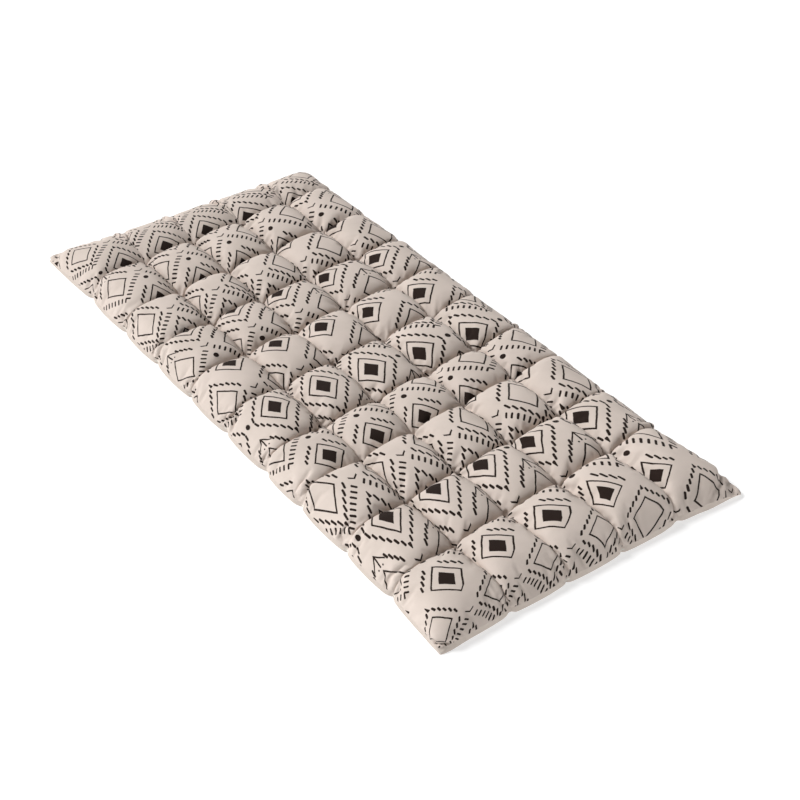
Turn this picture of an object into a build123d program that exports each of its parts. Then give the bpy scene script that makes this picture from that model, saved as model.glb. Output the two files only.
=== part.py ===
from build123d import *
import os
from math import radians, tan

# A tufted futon mattress: two cotton panels sewn together at a knife edge all round, filled with two layers of
# wadding and drawn in by thread ties into rows of puffs. It folds in half, printed face inwards, along the middle
# row of ties, so the casing and the wadding are cut there into a near half and a far half.
# Millimetres. X runs across the mattress, +Y along it to the far end, +Z up. The origin is the middle of the
# underside.

# ---- driving dimensions ----
mattress_width = 900.0
mattress_length = 1900.0
mattress_height = 105.0
puff_columns = 5
puff_rows = 10
column_pitch = 171.0  # between ties across the mattress
row_pitch = 182.0  # between ties along the mattress
seam_height = 36.0  # the plane where the two panels meet, and where the ties draw them together
cloth = 1.5
hem_width = 12.0  # the flat sewn border outside the wadding
hem_gap = 1.2  # between the two hems, room for the seam's thread
web_height = 8.0  # of one layer in the valleys between puffs
valley_width = 8.0
side_taper = 14.0  # lean of a puff's sides, degrees
crown_taper = 52.0  # lean of the slopes up to a puff's crown
top_side_share = 0.6  # of the height, up the sides
bottom_side_share = 0.45
clearance = 0.3  # between wadding and cloth

# ---- the fold ----
fold_y = 4.0  # just past the middle row of ties, which stays whole on the near half
fold_gap = 1.0

# ---- ties and seam threads ----
tie_radius = 1.2
tie_hole_radius = 1.5
knot_length = 12.0
knot_width = 3.0
knot_height = 1.5
thread_radius = 0.5
thread_inset = 6.0  # from the mattress's edge
opening_width = 320.0  # where the wadding went in, closed by hand
opening_stitch_pitch = 12.0
opening_stitch_length = 8.0

# ---- derived places ----
half_width = mattress_width / 2
half_length = mattress_length / 2
top_height = mattress_height - seam_height
hem_lift = hem_gap / 2
inner_x = half_width - hem_width
inner_y = half_length - hem_width
tie_x = [column_pitch * (i - (puff_columns - 2) / 2) for i in range(puff_columns - 1)]
tie_y = [row_pitch * (i - (puff_rows - 2) / 2) for i in range(puff_rows - 1)]
near_tie_y = [y for y in tie_y if y < fold_y]
far_tie_y = [y for y in tie_y if y > fold_y]
column_lines = [-inner_x, *tie_x, inner_x]
near_lines = [-inner_y, *near_tie_y]
far_lines = [near_tie_y[-1], *far_tie_y, inner_y]
near_span = (-inner_y, fold_y - fold_gap / 2)
far_span = (fold_y + fold_gap / 2, inner_y)
halves = {"near": (near_lines, near_span, near_tie_y), "far": (far_lines, far_span, far_tie_y)}


def slab(x_span, y_span, bottom, height):
    """A flat block between these limits."""
    with BuildPart() as block:
        with BuildSketch(Plane.XY.offset(bottom)):
            with Locations((sum(x_span) / 2, sum(y_span) / 2)):
                Rectangle(x_span[1] - x_span[0], y_span[1] - y_span[0])
        extrude(amount=height)
    return block.part


def puffed(lines, span, height, side_share, inset):
    """A web with a puff on each cell, rising from the seam plane. An inset keeps it inside the same shape."""
    side_height = height * side_share
    crown_height = height - inset - side_height
    lean = side_height * tan(radians(side_taper))
    with BuildPart() as shape:
        for base, rise, taper, drawn_in in (
            (seam_height, side_height, side_taper, inset),
            (seam_height + side_height, crown_height, crown_taper, inset + lean),
        ):
            with BuildSketch(Plane.XY.offset(base)):
                for y0, y1 in zip(lines, lines[1:]):
                    start = max(y0, span[0])
                    for x0, x1 in zip(column_lines, column_lines[1:]):
                        with Locations(((x0 + x1) / 2, (start + y1) / 2)):
                            narrower = valley_width + 2 * drawn_in
                            Rectangle(x1 - x0 - narrower, y1 - start - narrower)
            extrude(amount=rise, taper=taper)
        add(slab((-inner_x + inset, inner_x - inset), span_inside(span, inset), seam_height, web_height - inset))
    return shape.part


def span_inside(span, inset):
    """The span with its outer end drawn in. The end at the fold is a cut, open to the other half."""
    if span[0] < -half_width:
        return (span[0] + inset, span[1])
    return (span[0], span[1] - inset)


def tie_holes(rows_y):
    """Rods that clear the ties of these rows, to be cut from cloth and wadding."""
    with BuildPart() as holes:
        with Locations(*[(x, y, seam_height) for x in tie_x for y in rows_y]):
            Cylinder(tie_hole_radius, 4 * web_height)
    return holes.part


def cover(lines, span, rows_y, height, side_share):
    """A cloth panel above the seam plane: its hem and the shell over the puffs."""
    near = span[0] < -half_width
    hem_span = (-half_length, span[1]) if near else (span[0], half_length)
    with BuildPart() as panel:
        add(slab((-half_width, half_width), hem_span, seam_height + hem_lift, cloth))
        add(puffed(lines, span, height, side_share, 0))
        add(puffed(lines, span, height, side_share, cloth), mode=Mode.SUBTRACT)
        add(slab((-half_width, half_width), hem_span, seam_height, hem_lift), mode=Mode.SUBTRACT)
        add(tie_holes(rows_y), mode=Mode.SUBTRACT)
    return panel.part


def wadding(lines, span, rows_y, height, side_share):
    """A layer of wadding above the seam plane, filling its cover."""
    with BuildPart() as layer:
        add(puffed(lines, span, height, side_share, cloth + clearance))
        add(slab((-half_width, half_width), span, seam_height, clearance / 2), mode=Mode.SUBTRACT)
        add(tie_holes(rows_y), mode=Mode.SUBTRACT)
    return layer.part


def turned_under(piece):
    """The piece's mirror image below the seam plane."""
    with BuildPart() as under:
        add(piece)
        mirror(about=Plane.XY.offset(seam_height), mode=Mode.REPLACE)
    return under.part


def tie_row(row_y):
    """Four ties: a doubled thread through the mattress, with a knot bar on each face."""
    knot_level = web_height + knot_height / 2 + 0.1
    with BuildPart() as ties:
        with Locations(*[(x, row_y, seam_height) for x in tie_x]):
            Cylinder(tie_radius, 2 * knot_level)
        for level in (seam_height + knot_level, seam_height - knot_level):
            with Locations(*[(x, row_y, level) for x in tie_x]):
                Box(knot_length, knot_width, knot_height)
    return ties.part


def thread(start, end):
    """A straight run of seam thread, lying between the two hems."""
    direction = Vector(*end) - Vector(*start)
    with BuildPart() as run:
        with BuildSketch(Plane(origin=start, z_dir=direction)):
            Circle(thread_radius)
        extrude(amount=direction.length)
    return run.part


def write(piece, name):
    piece.label = name
    export_step(piece, f"parts/{name}.step")


os.makedirs("parts", exist_ok=True)

# ---- covers and wadding, a near and a far half of each ----
for half, (lines, span, rows_y) in halves.items():
    top_shape = (lines, span, rows_y, top_height, top_side_share)
    bottom_shape = (lines, span, rows_y, seam_height, bottom_side_share)
    write(cover(*top_shape), f"{half}_top_cover")
    write(wadding(*top_shape), f"{half}_upper_wadding")
    write(turned_under(cover(*bottom_shape)), f"{half}_bottom_cover")
    write(turned_under(wadding(*bottom_shape)), f"{half}_lower_wadding")

# ---- ties, one node to each row across ----
for number, row_y in enumerate(tie_y, start=1):
    write(tie_row(row_y), f"tuft_ties_row_{number}")

# ---- seam threads ----
thread_x = half_width - thread_inset
thread_y = half_length - thread_inset
corner_gap = 2 * thread_radius + 0.5
opening_end = opening_width / 2 + opening_stitch_pitch / 2

with BuildPart() as near_end_seam:
    add(thread((-thread_x, -thread_y, seam_height), (thread_x, -thread_y, seam_height)))
write(near_end_seam.part, "near_end_seam")

with BuildPart() as far_end_seam:
    add(thread((-thread_x, thread_y, seam_height), (-opening_end, thread_y, seam_height)))
    add(thread((opening_end, thread_y, seam_height), (thread_x, thread_y, seam_height)))
write(far_end_seam.part, "far_end_seam")

for side, x in (("left", -thread_x), ("right", thread_x)):
    with BuildPart() as near_side_seam:
        add(thread((x, -thread_y + corner_gap, seam_height), (x, near_span[1], seam_height)))
    write(near_side_seam.part, f"near_{side}_seam")
    with BuildPart() as far_side_seam:
        add(thread((x, far_span[0], seam_height), (x, thread_y - corner_gap, seam_height)))
    write(far_side_seam.part, f"far_{side}_seam")

# ---- the hand-closed opening in the far end ----
stitch_count = int(opening_width / opening_stitch_pitch) + 1
with BuildPart() as closing_stitches:
    for i in range(stitch_count):
        x = opening_stitch_pitch * (i - (stitch_count - 1) / 2)
        add(thread((x, half_length - opening_stitch_length - 1, seam_height), (x, half_length - 1, seam_height)))
write(closing_stitches.part, "closing_stitches")
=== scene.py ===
import math
import bpy
import numpy as np
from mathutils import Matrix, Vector


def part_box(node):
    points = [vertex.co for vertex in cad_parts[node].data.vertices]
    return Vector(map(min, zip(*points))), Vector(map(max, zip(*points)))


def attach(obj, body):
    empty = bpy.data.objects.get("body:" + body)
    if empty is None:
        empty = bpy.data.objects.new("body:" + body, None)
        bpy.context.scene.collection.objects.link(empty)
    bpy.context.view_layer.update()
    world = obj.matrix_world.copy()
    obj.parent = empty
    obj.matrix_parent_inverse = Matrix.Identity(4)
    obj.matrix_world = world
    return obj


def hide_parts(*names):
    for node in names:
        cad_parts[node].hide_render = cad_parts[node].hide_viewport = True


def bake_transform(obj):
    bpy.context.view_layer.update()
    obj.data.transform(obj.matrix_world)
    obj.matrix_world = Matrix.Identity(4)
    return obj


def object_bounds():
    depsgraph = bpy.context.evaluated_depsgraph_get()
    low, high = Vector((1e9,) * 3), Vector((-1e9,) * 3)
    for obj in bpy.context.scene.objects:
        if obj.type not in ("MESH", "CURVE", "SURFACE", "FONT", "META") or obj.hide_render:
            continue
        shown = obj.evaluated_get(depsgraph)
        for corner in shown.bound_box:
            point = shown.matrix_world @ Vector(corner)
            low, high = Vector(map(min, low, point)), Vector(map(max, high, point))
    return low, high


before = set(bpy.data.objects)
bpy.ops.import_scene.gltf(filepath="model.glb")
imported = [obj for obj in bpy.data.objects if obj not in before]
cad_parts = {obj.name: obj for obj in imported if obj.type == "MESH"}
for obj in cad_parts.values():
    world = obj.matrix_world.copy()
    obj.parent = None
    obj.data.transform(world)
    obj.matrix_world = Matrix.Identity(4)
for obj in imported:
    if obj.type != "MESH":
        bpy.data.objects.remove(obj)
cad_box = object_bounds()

# A tufted futon mattress. Two cotton panels are simulated as cloth, drawn down by ties over puffs of wadding.
# Metres. X runs across, +Y to the far end, +Z up.

# ---- places from the frame ----
HALF_WIDTH, HALF_LENGTH, HEIGHT = cad_box[1]
KNOT_LENGTH = 0.012
TIE_NODES = sorted(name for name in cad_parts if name.startswith("tuft_ties_row_"))
tie_boxes = [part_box(name) for name in TIE_NODES]
TIE_LOW_Z, TIE_HIGH_Z = tie_boxes[0][0].z, tie_boxes[0][1].z
COLUMNS, ROWS = 5, len(TIE_NODES) + 1
outer_tie_x = tie_boxes[0][1].x - KNOT_LENGTH / 2
TIE_X = np.linspace(-outer_tie_x, outer_tie_x, COLUMNS - 1)
TIE_Y = np.array([(lo.y + hi.y) / 2 for lo, hi in tie_boxes])

# ---- the real one's irregularity ----
ROW_DRIFT = [0.024, 0.021, 0.056, -0.07, -0.017, -0.037, -0.042, -0.03, 0.05]  # of a row's pitch
COLUMN_DRIFT = [0.013, -0.011, -0.017, 0.015]  # of a column's pitch
END_SKEW = -0.072  # the ends run nearer on the right
TIE_STRAY = 0.003
rng = np.random.default_rng(11)

# ---- the cloth ----
SPARE = 0.225  # flat cloth beyond the distance it covers
SEAM_Z = 0.023
CORNER_Z = 0.014
NOTCH_END = 0.011
NOTCH_SIDE = 0.014
EAR_NEAR_LEFT, EAR_NEAR_RIGHT = (-0.016, -0.002), (0.020, -0.026)
EAR_FAR_LEFT, EAR_FAR_RIGHT = (-0.010, 0.038), (-0.004, 0.002)
GATHER = 0.22  # how far the cloth crowds toward the tie lines
NOTCH_DROP = 0.005
PLEAT_DEPTH, PLEAT_REACH = 0.0044, 0.036
FAR_SPARE = 0.13  # the far row is flatter than the rest
FAR_ROLL = 0.78  # how high the far row stays between its puffs, of their height

pitch_x = TIE_X[1] - TIE_X[0]
pitch_y = TIE_Y[1] - TIE_Y[0]
line_x = np.array([-HALF_WIDTH, *(TIE_X + np.array(COLUMN_DRIFT) * pitch_x), HALF_WIDTH])
line_y = np.array([-HALF_LENGTH, *(TIE_Y + np.array(ROW_DRIFT) * pitch_y), HALF_LENGTH])
stray = rng.normal(0, TIE_STRAY, (2, COLUMNS + 1, ROWS + 1))
stray[:, [0, -1], :] = 0
stray[:, :, [0, -1]] = 0
flat_x = line_x * (1 + SPARE)
flat_y = line_y * (1 + SPARE)


def arch(share, power, root):
    """From 0 at both ends of a puff to 1 at its middle."""
    return np.clip(1 - np.abs(2 * share - 1) ** power, 0, 1) ** root


def between(table, cx, sx, cy, sy):
    """Values given at the lines' crossings, taken between them."""
    sx, sy = sx[:, None], sy[None, :]
    near = table[cx][:, cy] * (1 - sx) + table[cx + 1][:, cy] * sx
    far = table[cx][:, cy + 1] * (1 - sx) + table[cx + 1][:, cy + 1] * sx
    return near * (1 - sy) + far * sy


class Panel:
    """A cotton panel as a grid, with its flat shape and the shape that the ties and wadding draw it to."""

    def __init__(self, per_puff, tie_z, crown_z, saddle, faces_up):
        self.n = per_puff
        self.shape = (COLUMNS * per_puff + 1, ROWS * per_puff + 1)
        ix, iy = np.arange(self.shape[0]), np.arange(self.shape[1])
        cx, cy = np.minimum(ix // per_puff, COLUMNS - 1), np.minimum(iy // per_puff, ROWS - 1)
        sx, sy = ix / per_puff - cx, iy / per_puff - cy
        u = line_x[cx] + sx * np.diff(line_x)[cx]
        v = line_y[cy] + sy * np.diff(line_y)[cy]
        u, v = self.draw_ends(*np.meshgrid(u, v, indexing="ij"), cx, sx, cy, sy)
        # less spare cloth in the far row
        v = v - (SPARE - FAR_SPARE) / (1 + SPARE) * np.clip(v - line_y[-2], 0, None)
        self.flat = np.stack([u * (1 + SPARE), v * (1 + SPARE), np.zeros(self.shape)], -1)
        # the cloth is gathered at the tie lines and taut over the crowns
        near_tie_x = sx - GATHER * np.sin(math.tau * sx) / math.tau
        near_tie_y = sy - GATHER * np.sin(math.tau * sy) / math.tau
        x = (line_x[cx] + near_tie_x * np.diff(line_x)[cx])[:, None] + between(stray[0], cx, sx, cy, sy)
        y = (line_y[cy] + near_tie_y * np.diff(line_y)[cy])[None, :] + between(stray[1], cx, sx, cy, sy)
        past = np.where(cy == 0, 1 - sy, np.where(cy == ROWS - 1, sy, 0))[None, :]
        x, y = self.draw_ends(x, y, cx, sx, cy, sy)
        # the hem is drawn in at each tie line
        to_side = np.clip((np.abs(x) - TIE_X[-1]) / (HALF_WIDTH - TIE_X[-1]), 0, 1) ** 3
        x = x - np.sign(x) * to_side * NOTCH_SIDE * (1 - arch(sy, 2, 0.55))[None, :]
        y = y - np.sign(y) * past ** 3 * NOTCH_END * (1 - arch(sx, 2, 0.55))[:, None]
        puff_x, puff_y = arch(sx, 2.2, 0.6)[:, None], arch(sy, 2.2, 0.6)[None, :]
        valley_x, valley_y = arch(sx, 2, 0.8)[:, None], arch(sy, 2, 0.8)[None, :]
        roll = np.where(cy == ROWS - 1, FAR_ROLL, saddle)[None, :]
        share = puff_x * puff_y + saddle * valley_x * (1 - puff_y) + roll * valley_y * (1 - puff_x)
        self.rim = np.zeros(self.shape)
        self.rim[[0, -1], :] = 1
        self.rim[:, [0, -1]] = 1
        share = np.where(self.rim > 0, 0, np.minimum(share, 1))
        z = tie_z + (crown_z - tie_z) * share
        corner = np.clip((np.abs(x) / HALF_WIDTH) ** 9, 0, 1) * np.clip((np.abs(y) / HALF_LENGTH) ** 16, 0, 1)
        scallop = np.where(past > 0.99, arch(sx, 2, 0.5)[:, None], arch(sy, 2, 0.5)[None, :])
        hem = SEAM_Z + (CORNER_Z - SEAM_Z) * corner - NOTCH_DROP * (1 - scallop)
        z = np.where(self.rim > 0, hem, z)
        self.drawn = np.stack([x, y, z], -1)
        self.ties = [(i, j) for i in range(per_puff, self.shape[0] - 1, per_puff)
                     for j in range(per_puff, self.shape[1] - 1, per_puff)]
        self.faces_up = faces_up
        self.places = self.drawn

    def draw_ends(self, x, y, cx, sx, cy, sy):
        """Skews the ends, from the outermost ties on, and draws the corners out into ears."""
        to_left, to_right = np.where(cx == 0, 1 - sx, 0)[:, None], np.where(cx == COLUMNS - 1, sx, 0)[:, None]
        to_near, to_far = np.where(cy == 0, 1 - sy, 0)[None, :], np.where(cy == ROWS - 1, sy, 0)[None, :]
        y = y + (to_near + to_far) * END_SKEW * x
        for share, ear in ((to_left * to_near, EAR_NEAR_LEFT), (to_right * to_near, EAR_NEAR_RIGHT),
                           (to_left * to_far, EAR_FAR_LEFT), (to_right * to_far, EAR_FAR_RIGHT)):
            x = x + share ** 2.5 * ear[0]
            y = y + share ** 2.5 * ear[1]
        return x, y

    def faces(self):
        i, j = np.meshgrid(np.arange(self.shape[0] - 1), np.arange(self.shape[1] - 1), indexing="ij")
        a = (i * self.shape[1] + j).ravel()
        quads = np.stack([a, a + self.shape[1], a + self.shape[1] + 1, a + 1], -1)
        return (quads if self.faces_up else quads[:, ::-1]).tolist()

    def mesh(self, name, points):
        mesh = bpy.data.meshes.new(name)
        mesh.from_pydata(points.reshape(-1, 3).tolist(), [], self.faces())
        return mesh

    def hold(self, valley):
        """How firmly each point is held to the drawn shape: 1 at ties and hem, a little along the valleys."""
        firm = np.zeros(self.shape)
        firm[self.n::self.n, :] = valley
        firm[:, self.n::self.n] = valley
        firm[:, -self.n + 1:] *= 0.7
        firm[self.rim > 0] = 1
        for i, j in self.ties:
            firm[i, j] = 1
        return firm

    def simulate(self, name, pressure, valley, frames, draw_in=12):
        """The panel starts flat, is drawn in by its ties and hem, and swells between them."""
        ob = bpy.data.objects.new(name, self.mesh(name, self.flat + [0, 0, self.drawn[..., 2].mean()]))
        bpy.context.scene.collection.objects.link(ob)
        ob.shape_key_add(name="Flat", from_mix=False)
        drawn = ob.shape_key_add(name="Drawn", from_mix=False)
        drawn.data.foreach_set("co", self.drawn.astype(np.float32).ravel())
        drawn.value = 0
        drawn.keyframe_insert("value", frame=1)
        drawn.value = 1
        drawn.keyframe_insert("value", frame=draw_in)
        pins = ob.vertex_groups.new(name="held")
        firm = self.hold(valley).ravel()
        for weight in np.unique(firm):
            if weight > 0:
                pins.add(np.nonzero(firm == weight)[0].tolist(), float(weight), "REPLACE")
        cloth = ob.modifiers.new("Cloth", "CLOTH")
        s = cloth.settings
        s.quality = 4
        s.mass = 0.01
        s.air_damping = 2
        s.tension_stiffness = s.compression_stiffness = 20
        s.shear_stiffness = 4
        s.bending_stiffness = 0.02
        s.tension_damping = s.compression_damping = s.shear_damping = 1
        s.bending_damping = 0.2
        s.vertex_group_mass = "held"
        s.pin_stiffness = 8
        s.use_pressure = True
        s.uniform_pressure_force = pressure
        s.effector_weights.gravity = 0
        cloth.collision_settings.use_collision = False
        cloth.point_cache.frame_start, cloth.point_cache.frame_end = 1, frames
        for step in range(1, frames + 1):
            bpy.context.scene.frame_set(step)
        graph = bpy.context.evaluated_depsgraph_get()
        done = bpy.data.meshes.new_from_object(ob.evaluated_get(graph))
        points = np.empty(len(done.vertices) * 3)
        done.vertices.foreach_get("co", points)
        action = ob.data.shape_keys.animation_data.action
        bpy.data.objects.remove(ob)
        bpy.data.meshes.remove(done)
        bpy.data.actions.remove(action)
        bpy.context.scene.frame_set(1)
        self.places = points.reshape(*self.shape, 3)

    def pleat(self, count):
        """Short folds that run out from each tie and from each notch in the hem."""
        normal = np.cross(np.gradient(self.places, axis=0), np.gradient(self.places, axis=1))
        normal /= np.linalg.norm(normal, axis=-1, keepdims=True)
        depth = np.zeros(self.shape)
        notches = [(i, j) for i in range(0, self.shape[0], self.n) for j in range(0, self.shape[1], self.n)]
        for i, j in notches:
            away = self.flat[..., :2] - self.flat[i, j, :2]
            far = np.hypot(away[..., 0], away[..., 1])
            angle = np.arctan2(away[..., 1], away[..., 0])
            for turn in (np.arange(count) + rng.uniform(-0.3, 0.3, count)) * math.tau / count:
                apart = (angle - turn + math.pi) % math.tau - math.pi
                reach = PLEAT_REACH * rng.uniform(0.7, 1.3)
                ridge = np.exp(-(apart / 0.2) ** 2) - 0.6 * np.exp(-((np.abs(apart) - 0.42) / 0.2) ** 2)
                depth -= rng.uniform(0.5, 1.0) * ridge * far / reach * np.exp(1 - (far / reach) ** 1.5)
        from_side, from_end = (np.minimum(np.arange(n), np.arange(n)[::-1]) for n in self.shape)
        off_rim = np.clip(np.minimum(from_side[:, None], from_end[None, :]) / 4, 0, 1)
        self.places = self.places + normal * (PLEAT_DEPTH * depth * off_rim)[..., None]


top = Panel(per_puff=28, tie_z=TIE_HIGH_Z - 0.010, crown_z=HEIGHT - 0.002, saddle=0.34, faces_up=True)
bottom = Panel(per_puff=14, tie_z=TIE_LOW_Z - 0.005, crown_z=0.0, saddle=0.7, faces_up=False)
top.simulate("top_cover_cloth", pressure=125, valley=0.6, frames=40)
bottom.simulate("bottom_cover_cloth", pressure=50, valley=0.4, frames=34)
top.pleat(6)


# ---- printed cotton ----
PRINT_WIDTH = 0.1745
HALF_PERIOD = 0.256
PRINT_PUFF = 0.2006  # cloth of the print to one column
ROWS_PER_DIAMOND, CLOSING, FIRST_DIAMOND_ROW, DIAMOND_COLUMN = 1.414, 0.028, 0.36, 1.93


def print_place(panel):
    """Each point's place on the printed cloth, in metres: across it and along it."""
    u = np.interp(panel.flat[..., 0], flat_x[1:-1], np.arange(COLUMNS - 1) - 1.5, -9, 9)
    left = (panel.flat[..., 0] - flat_x[1]) / (flat_x[2] - flat_x[1]) - 1.5
    right = (panel.flat[..., 0] - flat_x[-2]) / (flat_x[-2] - flat_x[-3]) + 1.5
    u = np.where(panel.flat[..., 0] < flat_x[1], left, np.where(panel.flat[..., 0] > flat_x[-2], right, u))
    row = np.interp(panel.flat[..., 1], flat_y[1:-1], np.arange(1, ROWS), -99, 99)
    near = 1 + (panel.flat[..., 1] - flat_y[1]) / (pitch_y * (1 + SPARE))
    far = ROWS - 1 + (panel.flat[..., 1] - flat_y[-2]) / (pitch_y * (1 + SPARE))
    row = np.where(panel.flat[..., 1] < flat_y[1], near, np.where(panel.flat[..., 1] > flat_y[-2], far, row))
    # the cloth is worked up closer toward the far end, and dragged nearer on the right
    near_share, far_share = np.clip(1 - row, 0, 1), np.clip((row - 7) / 1.5, 0, 1)
    hanging = np.clip(0.36 - row, 0, 0.7)  # where the near puffs fall to the floor
    columns = [-1.8, -0.7, 0.1, 1.0, 1.9]  # the near row's puffs, and how far the print slips on each
    slip_near, slip_right = [-0.17, -0.14, 0.0, 0.22, 0.32], [0.27, 0.20, 0.24, 0.10, -0.07]
    row = row + 0.08 * (np.maximum(u, 0) / 1.6) ** 2 - 0.14 * near_share ** 0.7 - 0.21 * far_share
    row = row - 0.60 * np.minimum(hanging, 0.42)
    row = row + near_share * np.interp(u, columns, slip_near)
    left_share = np.clip((0.6 - u) / 2.5, 0, 1)
    drag_rows, drag = [0.4, 1.8, 3.0, 4.4, 5.5, 6.7, 8.0], [0.27, 0.08, 0.0, 0.07, 0.0, 0.12, 0.0]
    leftward = left_share * np.interp(row, drag_rows, drag)
    row = row - 0.2 * left_share * np.clip((row - 1.5) / 1.5, 0, 1) * (1 - np.clip((row - 6.5) / 2, 0, 1))
    leftward += 0.55 * hanging * np.clip(1.9 - u, 0, 1)
    leftward -= near_share * np.interp(u, columns, slip_right)
    u = u + leftward - 0.15 * np.clip((u - 0.8) / 1.2, 0, 1) - 0.06 * far_share
    # a row of diamonds to every ROWS_PER_DIAMOND puffs, a little closer together with each row
    beyond = np.maximum(ROWS_PER_DIAMOND ** 2 - 4 * CLOSING * (row - FIRST_DIAMOND_ROW), 0.01)
    diamond_row = (ROWS_PER_DIAMOND - np.sqrt(beyond)) / (2 * CLOSING)
    return np.stack([(u + DIAMOND_COLUMN) * PRINT_PUFF, (diamond_row - 1) * HALF_PERIOD], -1)


class Value:
    """A number in a node tree, worked on with plain arithmetic."""
    tree = None

    def __init__(self, socket):
        self.socket = socket

    @staticmethod
    def calc(operation, *inputs):
        node = Value.tree.nodes.new("ShaderNodeMath")
        node.operation = operation
        for slot, value in zip(node.inputs, inputs):
            if isinstance(value, Value):
                Value.tree.links.new(value.socket, slot)
            else:
                slot.default_value = value
        return Value(node.outputs[0])

    def __add__(self, other):
        return Value.calc("ADD", self, other)

    def __sub__(self, other):
        return Value.calc("SUBTRACT", self, other)

    def __rsub__(self, other):
        return Value.calc("SUBTRACT", other, self)

    def __mul__(self, other):
        return Value.calc("MULTIPLY", self, other)

    def __truediv__(self, other):
        return Value.calc("DIVIDE", self, other)


def absolute(a):
    return Value.calc("ABSOLUTE", a)


def smaller(a, b):
    return Value.calc("MINIMUM", a, b)


def larger(a, b):
    return Value.calc("MAXIMUM", a, b)


def whole(a):
    return Value.calc("ROUND", a)


def remainder(a, b):
    return Value.calc("FLOORED_MODULO", a, b)


def length(a, b):
    return Value.calc("SQRT", a * a + b * b)


def diamond(x, y, half_x, half_y):
    """Distance outside a diamond, in millimetres."""
    scale = half_x * half_y / math.hypot(half_x, half_y)
    return (absolute(x) / half_x + absolute(y) / half_y - 1) * scale


def outline(x, y, half_x, half_y, width=4.2):
    return absolute(diamond(x, y, half_x, half_y)) - width / 2


def dot(x, y, radius):
    return length(x, y) - radius


def dash(x, y, lean, long=17.0, wide=6.0):
    """A round-ended stroke at 0, 0 along y, leaning toward x by that many degrees."""
    c, s = math.cos(math.radians(lean)), math.sin(math.radians(lean))
    across, along = x * c - y * s, x * s + y * c
    return length(across, larger(absolute(along) - (long - wide) / 2, 0.0)) - wide / 2


def dashes(x, y, first, step, count, lean=-14.0):
    """A row of strokes: from first = (x, y), each one a step = (x, y) further on."""
    i = smaller(larger(whole((x - first[0]) / step[0]), 0.0), count - 1.0)
    return dash(x - first[0] - i * step[0], y - first[1] - i * step[1], lean)


def ring(x, y, half_x, half_y, step=11.0):
    """Strokes all round a diamond."""
    count = int(half_x / step + 0.6)
    return dashes(absolute(x), absolute(y), (0.0, half_y), (step, -step * half_y / half_x), count)


def ladder(x, y, low, high):
    """Strokes across a slanting band that goes from low to high, as (x, y)."""
    run_x, run_y = high[0] - low[0], high[1] - low[1]
    size = math.hypot(run_x, run_y)
    dx, dy = run_x / size, run_y / size
    along, across = (x - low[0]) * dx + (y - low[1]) * dy, (y - low[1]) * dx - (x - low[0]) * dy
    count = round(size / 13.5)
    step = size / count
    i = smaller(larger(whole(along / step - 0.5), 1.0), count - 1.0)
    return length(along - (i + 0.5) * step, larger(absolute(across) - 5.5, 0.0)) - 2.7


def printed_pattern(place_x, place_y):
    """Negative inside the ink. Diamonds, broken diamonds and ladders on a mirrored repeat."""
    width, half = PRINT_WIDTH * 1000, HALF_PERIOD * 1000
    from_d = absolute(remainder(place_x + width / 2, width) - width / 2)
    from_e = width / 2 - from_d
    # on toward the near end, from a row of ringed diamonds
    s = remainder(half * 2 - place_y, half * 2)
    around = remainder(s + half, half * 2) - half
    past = s - half
    in_half = remainder(s, half)
    ink = [
        diamond(from_d, around, 22.0, 27.0),
        outline(from_d, around, 43.0, 50.0),
        ring(from_d, around, 73.0, 88.0),
        dashes(from_d, around, (35.0, 99.0), (9.0, -11.0), 4),
        diamond(from_d, past, 22.0, 27.0),
        outline(from_d, past, 43.0, 50.0),
        dashes(from_d, past, (23.0, -52.0), (11.0, 11.0), 4, lean=14.0),
        ladder(from_d, in_half, (0.0, 0.49 * half), (width / 2, 0.81 * half)),
        dot(from_d, s - 0.65 * half, 7.5),
        larger(absolute(in_half - 0.485 * half + from_d * 0.72) - 2.4, from_d - 12.0),
        outline(from_e, past - 0.42 * half, 39.0, 48.0),
        ring(from_e, past - 0.42 * half, 68.0, 80.0),
        dot(from_e, past - 0.97 * half, 7.0),
        larger(absolute(s - 44.0 - from_e * 1.09) - 2.6, from_e - 22.0),
        dash(from_e, s - 60.0, 0.0, long=28.0, wide=4.2),
        dot(from_e - 9.0, s - 74.0, 2.2),
        outline(from_e, s - 0.515 * half, 39.0, 48.0),
    ]
    whole_ink = ink[0]
    for part in ink[1:]:
        whole_ink = smaller(whole_ink, part)
    return whole_ink


def new_material(name):
    material = bpy.data.materials.new(name)
    material.use_nodes = True
    return material, material.node_tree, material.node_tree.nodes["Principled BSDF"]


def noise(tree, vector, scale, detail, rough):
    node = tree.nodes.new("ShaderNodeTexNoise")
    node.inputs["Scale"].default_value = scale
    node.inputs["Detail"].default_value = detail
    node.inputs["Roughness"].default_value = rough
    tree.links.new(vector, node.inputs["Vector"])
    return node.outputs["Fac"]


def mix(tree, share, a, b):
    node = tree.nodes.new("ShaderNodeMix")
    node.data_type = "RGBA"
    for slot, value in ((node.inputs["Factor"], share), (node.inputs["A"], a), (node.inputs["B"], b)):
        if isinstance(value, tuple):
            slot.default_value = value
        else:
            tree.links.new(value, slot)
    return node.outputs["Result"]


def ramp(tree, value, low, high):
    node = tree.nodes.new("ShaderNodeMapRange")
    node.inputs["From Min"].default_value = low
    node.inputs["From Max"].default_value = high
    tree.links.new(value, node.inputs["Value"])
    return node.outputs["Result"]


def bump(tree, shader, height, distance, strength):
    node = tree.nodes.new("ShaderNodeBump")
    node.inputs["Distance"].default_value = distance
    node.inputs["Strength"].default_value = strength
    tree.links.new(height, node.inputs["Height"])
    tree.links.new(node.outputs["Normal"], shader.inputs["Normal"])


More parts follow.
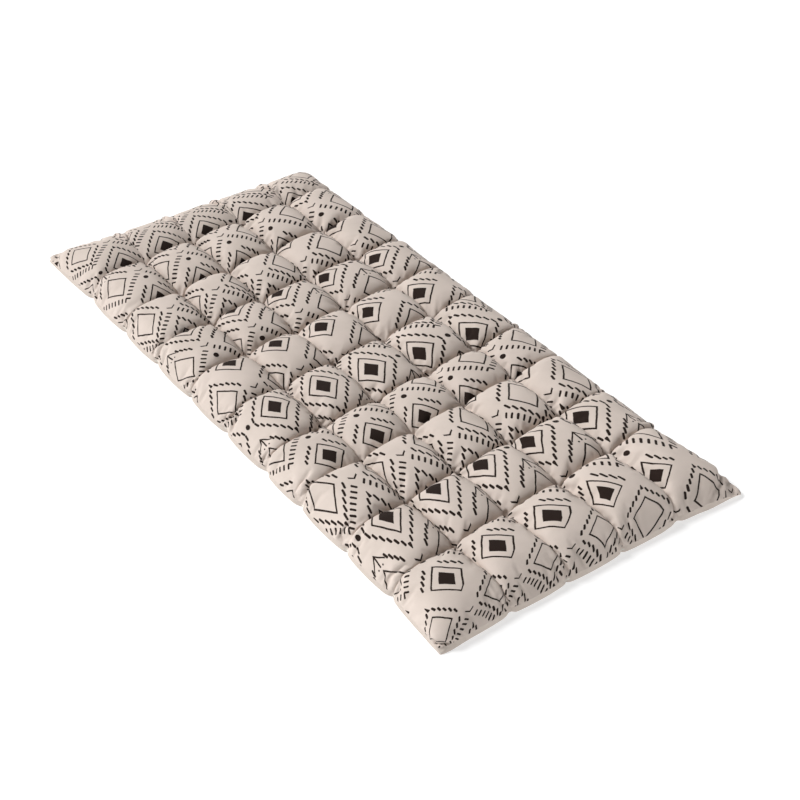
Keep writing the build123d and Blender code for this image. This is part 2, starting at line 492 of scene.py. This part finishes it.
def weave(tree, place, threads):
    """A plain weave's height: threads to the metre, over and under."""
    Value.tree = tree
    separate = tree.nodes.new("ShaderNodeSeparateXYZ")
    tree.links.new(place, separate.inputs[0])
    x = Value(separate.outputs["X"]) * threads
    y = Value(separate.outputs["Y"]) * threads
    return (Value.calc("SINE", x * math.tau) * Value.calc("SINE", y * math.tau)).socket


def cotton(name, light, dark, printed):
    material, tree, shader = new_material(name)
    place = tree.nodes.new("ShaderNodeAttribute")
    place.attribute_name = "place"
    shade = mix(tree, ramp(tree, noise(tree, place.outputs["Vector"], 9.0, 4.0, 0.6), 0.3, 0.7), dark, light)
    fibre = noise(tree, place.outputs["Vector"], 420.0, 2.0, 0.6)
    if printed:
        Value.tree = tree
        wobble = tree.nodes.new("ShaderNodeTexNoise")
        wobble.inputs["Scale"].default_value = 34.0
        tree.links.new(place.outputs["Vector"], wobble.inputs["Vector"])
        drift = tree.nodes.new("ShaderNodeSeparateXYZ")
        tree.links.new(wobble.outputs["Color"], drift.inputs[0])
        separate = tree.nodes.new("ShaderNodeSeparateXYZ")
        tree.links.new(place.outputs["Vector"], separate.inputs[0])
        x = Value(separate.outputs["X"]) * 1000 + (Value(drift.outputs["X"]) - 0.5) * 4.0
        y = Value(separate.outputs["Y"]) * 1000 + (Value(drift.outputs["Y"]) - 0.5) * 4.0
        edge = printed_pattern(x, y) + (Value(fibre) - 0.5) * 1.2
        inked = ramp(tree, edge.socket, 0.45, -0.45)
        shade = mix(tree, inked, shade, INK)
    tree.links.new(shade, shader.inputs["Base Color"])
    shader.inputs["Roughness"].default_value = 0.92
    shader.inputs["Specular IOR Level"].default_value = 0.2
    shader.inputs["Sheen Weight"].default_value = 0.03
    shader.inputs["Sheen Roughness"].default_value = 0.6
    rough = Value(weave(tree, place.outputs["Vector"], 900.0)) * 0.35 + Value(fibre)
    bump(tree, shader, rough.socket, 0.0006, 0.5)
    return material


def plain(name, colour, dark, scale, roughness, depth):
    material, tree, shader = new_material(name)
    place = tree.nodes.new("ShaderNodeTexCoord")
    grain = noise(tree, place.outputs["Object"], scale, 3.0, 0.6)
    tree.links.new(mix(tree, grain, dark, colour), shader.inputs["Base Color"])
    shader.inputs["Roughness"].default_value = roughness
    shader.inputs["Specular IOR Level"].default_value = 0.2
    bump(tree, shader, grain, depth, 0.6)
    return material


INK = (0.018, 0.009, 0.006, 1)
PRINTED = cotton("printed_cotton", (0.70, 0.605, 0.545, 1), (0.63, 0.545, 0.485, 1), True)
PLAIN = cotton("plain_cotton", (0.66, 0.575, 0.515, 1), (0.60, 0.52, 0.46, 1), False)
WADDING = plain("wadding", (0.82, 0.79, 0.73, 1), (0.70, 0.66, 0.60, 1), 60.0, 1.0, 0.002)
THREAD = plain("thread", (0.66, 0.58, 0.51, 1), (0.52, 0.45, 0.39, 1), 900.0, 0.8, 0.0003)


# ---- pieces ----
def add(name, mesh, material, nodes):
    ob = bpy.data.objects.new(name, mesh)
    bpy.context.scene.collection.objects.link(ob)
    mesh.materials.append(material)
    mesh.shade_smooth()
    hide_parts(*nodes)
    return ob


def bend_across(ob):
    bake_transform(ob)


def cover(name, panel, material, nodes):
    mesh = panel.mesh(name, panel.places)
    place = print_place(panel).reshape(-1, 2)
    attribute = mesh.attributes.new("place", "FLOAT_VECTOR", "POINT")
    attribute.data.foreach_set("vector", np.column_stack([place, 0 * place[:, 0]]).astype(np.float32).ravel())
    ob = add(name, mesh, material, nodes)
    finer = ob.modifiers.new("finer", "SUBSURF")
    finer.levels = finer.render_levels = 1
    graph = bpy.context.evaluated_depsgraph_get()
    finished = ob.evaluated_get(graph)
    fine = bpy.data.meshes.new_from_object(finished, preserve_all_data_layers=True, depsgraph=graph)
    ob.modifiers.clear()
    ob.data = fine
    fine.name = name
    bpy.data.meshes.remove(mesh)
    fine.shade_smooth()
    bend_across(ob)
    return ob


def closed_pad(name, upper, lower, nodes):
    """A solid between two grids of the same shape."""
    nx, ny = upper.shape[:2]
    count = nx * ny
    grid = np.arange(count).reshape(nx, ny)
    a, b, c, d = grid[:-1, :-1].ravel(), grid[1:, :-1].ravel(), grid[1:, 1:].ravel(), grid[:-1, 1:].ravel()
    faces = np.concatenate([np.stack([a, b, c, d], -1), np.stack([d, c, b, a], -1) + count])
    round_edge = np.concatenate([grid[:-1, 0], grid[-1, :-1], grid[:0:-1, -1], grid[0, :0:-1]])
    after = np.roll(round_edge, -1)
    sides = np.stack([round_edge + count, after + count, after, round_edge], -1)
    mesh = bpy.data.meshes.new(name)
    points = np.concatenate([upper.reshape(-1, 3), lower.reshape(-1, 3)])
    mesh.from_pydata(points.tolist(), [], np.concatenate([faces, sides]).tolist())
    ob = add(name, mesh, WADDING, nodes)
    bend_across(ob)
    return ob


def tube(points, radius, sides=6, closed=False):
    """Corners and faces of a thread along those points."""
    points = np.asarray(points, float)
    ahead = np.roll(points, -1, 0) - np.roll(points, 1, 0)
    if not closed:
        ahead[0], ahead[-1] = points[1] - points[0], points[-1] - points[-2]
    ahead /= np.linalg.norm(ahead, axis=1)[:, None]
    guide = np.array([0.0, 0.0, 1.0]) if abs(ahead[:, 2]).mean() < 0.8 else np.array([1.0, 0.0, 0.0])
    across = np.cross(ahead, guide)
    across /= np.linalg.norm(across, axis=1)[:, None]
    up = np.cross(across, ahead)
    turn = np.arange(sides) * math.tau / sides
    turn_cos, turn_sin = np.cos(turn)[None, :, None], np.sin(turn)[None, :, None]
    rings = points[:, None] + radius * (turn_cos * across[:, None] + turn_sin * up[:, None])
    n = len(points)
    faces = []
    for i in range(n if closed else n - 1):
        for k in range(sides):
            j, m = (i + 1) % n, (k + 1) % sides
            faces.append([i * sides + k, i * sides + m, j * sides + m, j * sides + k])
    if not closed:
        faces.append(list(range(sides))[::-1])
        faces.append([(n - 1) * sides + k for k in range(sides)])
    return rings.reshape(-1, 3), faces


def threads(name, tubes, nodes):
    points, faces, start = [], [], 0
    for corner, face in tubes:
        points.append(corner)
        faces += [[start + i for i in f] for f in face]
        start += len(corner)
    mesh = bpy.data.meshes.new(name)
    mesh.from_pydata(np.concatenate(points).tolist(), [], faces)
    return add(name, mesh, THREAD, nodes)


def both(stem):
    return [f"near_{stem}", f"far_{stem}"]


def roll_under():
    """The bottom panel swells out a little below the seam, then turns under to the floor."""
    out = np.array([0, 0.0012, 0.0008, -0.006, -0.022, -0.042])  # beyond the seam, step by step inward
    fall = np.array([1, 0.62, 0.26, 0.04, 0.0, 0.0])  # the height left, of the seam's
    before = bottom.places.copy()
    nx, ny = bottom.shape
    swell_x = 0.1 + 0.9 * arch(np.arange(nx) / bottom.n % 1, 2, 0.6)
    swell_y = 0.1 + 0.9 * arch(np.arange(ny) / bottom.n % 1, 2, 0.6)
    off_x = np.clip((np.minimum(np.arange(nx), nx - 1 - np.arange(nx)) - 1) / 6, 0, 1)
    off_y = np.clip((np.minimum(np.arange(ny), ny - 1 - np.arange(ny)) - 1) / 6, 0, 1)
    for k in range(1, len(out)):
        for i, rim, way in ((k, 0, -1), (nx - 1 - k, nx - 1, 1)):
            step = out[k] * np.where(out[k] > 0, swell_y * off_y, 1)
            row = bottom.places[i, 1:-1]
            row[:, 0] = (before[rim, :, 0] + way * step)[1:-1]
            row[:, 2] = np.minimum(row[:, 2], (before[rim, :, 2] * fall[k])[1:-1])
        for j, rim, way in ((k, 0, -1), (ny - 1 - k, ny - 1, 1)):
            step = out[k] * np.where(out[k] > 0, swell_x * off_x, 1)
            row = bottom.places[1:-1, j]
            row[:, 1] = (before[:, rim, 1] + way * step)[1:-1]
            row[:, 2] = np.minimum(row[:, 2], (before[:, rim, 2] * fall[k])[1:-1])


roll_under()
bottom.places[..., 2] = np.maximum(bottom.places[..., 2], 0.0)
top_cover = cover("top_cover", top, PRINTED, both("top_cover"))
bottom_cover = cover("bottom_cover", bottom, PLAIN, both("bottom_cover"))

# the wadding fills the covers, in two layers that meet half way
WADDING_GAP = 0.003


def lowest(height, reach):
    """The lowest height within that many points either way."""
    padded = np.pad(height, reach, mode="edge")
    steps = range(2 * reach + 1)
    nx, ny = height.shape
    return np.min([padded[i:i + nx, j:j + ny] for i in steps for j in steps], axis=0)


above = top.places.copy()
above[..., 2] = lowest(above[..., 2], 3)
above = above[::2, ::2][2:-2, 2:-2]
below = bottom.places.copy()
below[..., 2] = -lowest(-below[..., 2], 1)
below = below[2:-2, 2:-2]
middle = (above + below) / 2


def toward(outer, inner, gap):
    step = inner - outer
    size = np.linalg.norm(step, axis=-1, keepdims=True)
    return outer + step * np.minimum(gap / np.maximum(size, 1e-6), 0.8)


up, down = middle + [0, 0, 0.0003], middle - [0, 0, 0.0003]
upper_skin, lower_skin = toward(above, up, WADDING_GAP), toward(below, down, WADDING_GAP)
upper_skin[..., 2] = np.maximum(upper_skin[..., 2], up[..., 2] + 0.0005)
lower_skin[..., 2] = np.minimum(lower_skin[..., 2], down[..., 2] - 0.0005)
closed_pad("upper_wadding", upper_skin, up, both("upper_wadding"))
closed_pad("lower_wadding", down, lower_skin, both("lower_wadding"))

# a thread through each tie point, with a small looped knot on either face
KNOT = [(5.2 * math.cos(t), 1.3 * math.sin(2 * t), 0.9 * math.sin(t))
        for t in np.linspace(0, math.tau, 20, endpoint=False)]
for row in range(1, ROWS):
    tubes = []
    for column in range(1, COLUMNS):
        head = top.places[column * top.n, row * top.n]
        foot = bottom.places[column * bottom.n, row * bottom.n]
        tubes.append(tube([foot, (head + foot) / 2, head], 0.0012))
        for end, side in ((head, 1), (foot, -1)):
            tubes.append(tube(end + np.array(KNOT) / 1000 + [0, 0, side * 0.0012], 0.0008, closed=True))
    ob = threads(f"tuft_tie_row_{row}", tubes, [TIE_NODES[row - 1]])
    if row == 5:
        bend_across(ob)
    else:
        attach(ob, "near_half" if row < 5 else "far_half")

# the seams' thread lies in the turning, just inside the edge
SEAM_THREAD, TURNING = 0.0005, 0.003


def seam(name, path, inward, nodes):
    return threads(name, [tube(path + np.array(inward), SEAM_THREAD)], nodes)


rim = top.places
bend_across(seam("left_seam", rim[0], (TURNING, 0, 0), both("left_seam")))
bend_across(seam("right_seam", rim[-1], (-TURNING, 0, 0), both("right_seam")))
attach(seam("near_end_seam", rim[:, 0], (0, TURNING, 0), ["near_end_seam"]), "near_half")
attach(seam("far_end_seam", rim[:, -1], (0, -TURNING, 0), ["far_end_seam"]), "far_half")

# the opening it was filled through, closed by hand
OPENING, STITCH_PITCH = 0.32, 0.012
STITCH = np.array([(-3, -1, 3.5), (-1, 1.2, 1), (1, 1.2, -1), (3, -1, -3.5)]) / 1000
stitches = []
for x in np.arange(-OPENING / 2, OPENING / 2 + 0.001, STITCH_PITCH):
    i = np.argmin(np.abs(rim[:, -1, 0] - x))
    p = rim[i, -1]
    stitches.append(tube(p + STITCH, SEAM_THREAD))
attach(threads("closing_stitches", stitches, ["closing_stitches"]), "far_half")

# ---- floor, light and camera ----
SKY_STRENGTH, KEY_STRENGTH = 0.06, 3.3
RINGS = [(8, 0), (24, 0), (30, 0.6), (35, 2.6), (39, 6.5), (42, 12), (44, 20)]  # radius and height, far off
SIDES = 64
turns = np.arange(SIDES) * math.tau / SIDES
floor_points = [(r * math.cos(t), r * math.sin(t), z) for r, z in RINGS for t in turns]
floor_faces = [list(range(SIDES))]
for ring_start in range(0, (len(RINGS) - 1) * SIDES, SIDES):
    for i in range(SIDES):
        j = (i + 1) % SIDES
        floor_faces.append([ring_start + i, ring_start + SIDES + i, ring_start + SIDES + j, ring_start + j])
floor_mesh = bpy.data.meshes.new("floor")
floor_mesh.from_pydata(floor_points, [], floor_faces)
floor_mesh.shade_smooth()
floor = bpy.data.objects.new("floor", floor_mesh)
bpy.context.scene.collection.objects.link(floor)
floor_material, _, floor_shader = new_material("floor")
floor_shader.inputs["Base Color"].default_value = (0.5, 0.5, 0.5, 1)
floor_shader.inputs["Roughness"].default_value = 0.9
floor_shader.inputs["Emission Color"].default_value = (1, 1, 1, 1)
floor_shader.inputs["Emission Strength"].default_value = 0.6
floor_mesh.materials.append(floor_material)

world = bpy.data.worlds.new("studio")
bpy.context.scene.world = world
world.use_nodes = True
world.node_tree.nodes["Background"].inputs["Color"].default_value = (1, 1, 1, 1)
world.node_tree.nodes["Background"].inputs["Strength"].default_value = SKY_STRENGTH


def aim(ob, at):
    ob.rotation_euler = (Vector(at) - ob.location).to_track_quat("-Z", "Y").to_euler()


key_light = bpy.data.lights.new("key", "SUN")
key_light.angle = math.radians(20)
key_light.energy = KEY_STRENGTH
key = bpy.data.objects.new("key", key_light)
key.location = (-1.6, 1.9, 2.5)
bpy.context.scene.collection.objects.link(key)
aim(key, (0, 0, 0))

camera_data = bpy.data.cameras.new("camera")
camera_data.lens = 58.5
camera = bpy.data.objects.new("camera", camera_data)
camera.location = (-1.637, -2.284, 2.341)
bpy.context.scene.collection.objects.link(camera)
aim(camera, (-0.021, -0.213, 0.036))
bpy.context.scene.camera = camera
bpy.context.scene.view_settings.view_transform = "Standard"
